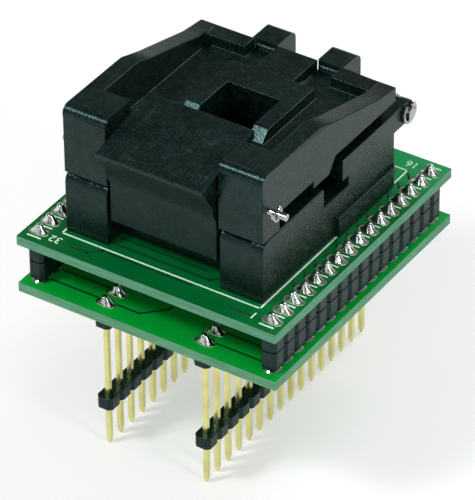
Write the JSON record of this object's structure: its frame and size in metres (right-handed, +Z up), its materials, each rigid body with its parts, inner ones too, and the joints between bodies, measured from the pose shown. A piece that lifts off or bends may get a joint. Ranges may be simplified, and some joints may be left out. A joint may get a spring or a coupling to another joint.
{
  "type": "zif_socket",
  "caption": "Clamshell zero-force chip socket with hinged lid and finger latch, on a two-board adapter with dual-in-line plug pins",
  "frame": {"origin": "bottom centre: the pin tips stand on z = 0 and both boards are centred over x = 0, y = 0", "axes": "+X right across the pin rows, +Y from the latch to the lid hinge, +Z up"},
  "size_m": [0.0394, 0.0428, 0.0494],
  "materials": {
    "lower_board_green": "green solder mask, satin gloss",
    "upper_board_green": "darker green solder mask, satin gloss",
    "strip_black": "moulded black insulator",
    "pin_gold": "pale gold plating",
    "solder": "bright solder",
    "socket_black": "moulded black thermoplastic",
    "contact_gold": "gold plated spring sheet",
    "steel": "plain steel"
  },
  "bodies": {
    "root": {"lower_board": "lower_board_green", "upper_board": "upper_board_green", "lower_strip_left": "strip_black", "lower_strip_right": "strip_black", "upper_strip_left": "strip_black", "upper_strip_right": "strip_black", "board_pins_left": "pin_gold", "board_pins_right": "pin_gold", "upper_solder_left": "solder", "upper_solder_right": "solder", "lower_solder_left": "solder", "lower_solder_right": "solder", "dip_pins_left": "pin_gold", "dip_pins_right": "pin_gold", "dip_collar_left": "strip_black", "dip_collar_right": "strip_black", "dip_spacer_left": "strip_black", "dip_spacer_right": "strip_black", "dip_solder_left": "solder", "dip_solder_right": "solder", "socket_base": "socket_black", "contacts_front": "contact_gold", "contacts_rear": "contact_gold", "contacts_left": "contact_gold", "contacts_right": "contact_gold", "socket_solder": "solder", "hinge_pin": "steel", "hinge_clips": "steel", "hinge_spring_left": "steel", "hinge_spring_right": "steel"},
    "lid_body": {"lid": "socket_black", "latch_pin": "steel", "latch_clip": "steel", "latch_spring": "steel"},
    "latch_body": {"latch": "socket_black"}
  },
  "joints": [
    {"name": "lid_hinge", "type": "hinge", "parent": "root", "child": "lid_body", "pos_m": [0, 0.0179, 0.0395], "axis": [-1, 0, 0], "range_deg": [0, 95]},
    {"name": "latch_pivot", "type": "hinge", "parent": "lid_body", "child": "latch_body", "pos_m": [0, -0.0158, 0.0441], "axis": [-1, 0, 0], "range_deg": [0, 12], "stiffness_Nm_per_rad": 0.004, "springref_deg": -11.46}
  ]
}
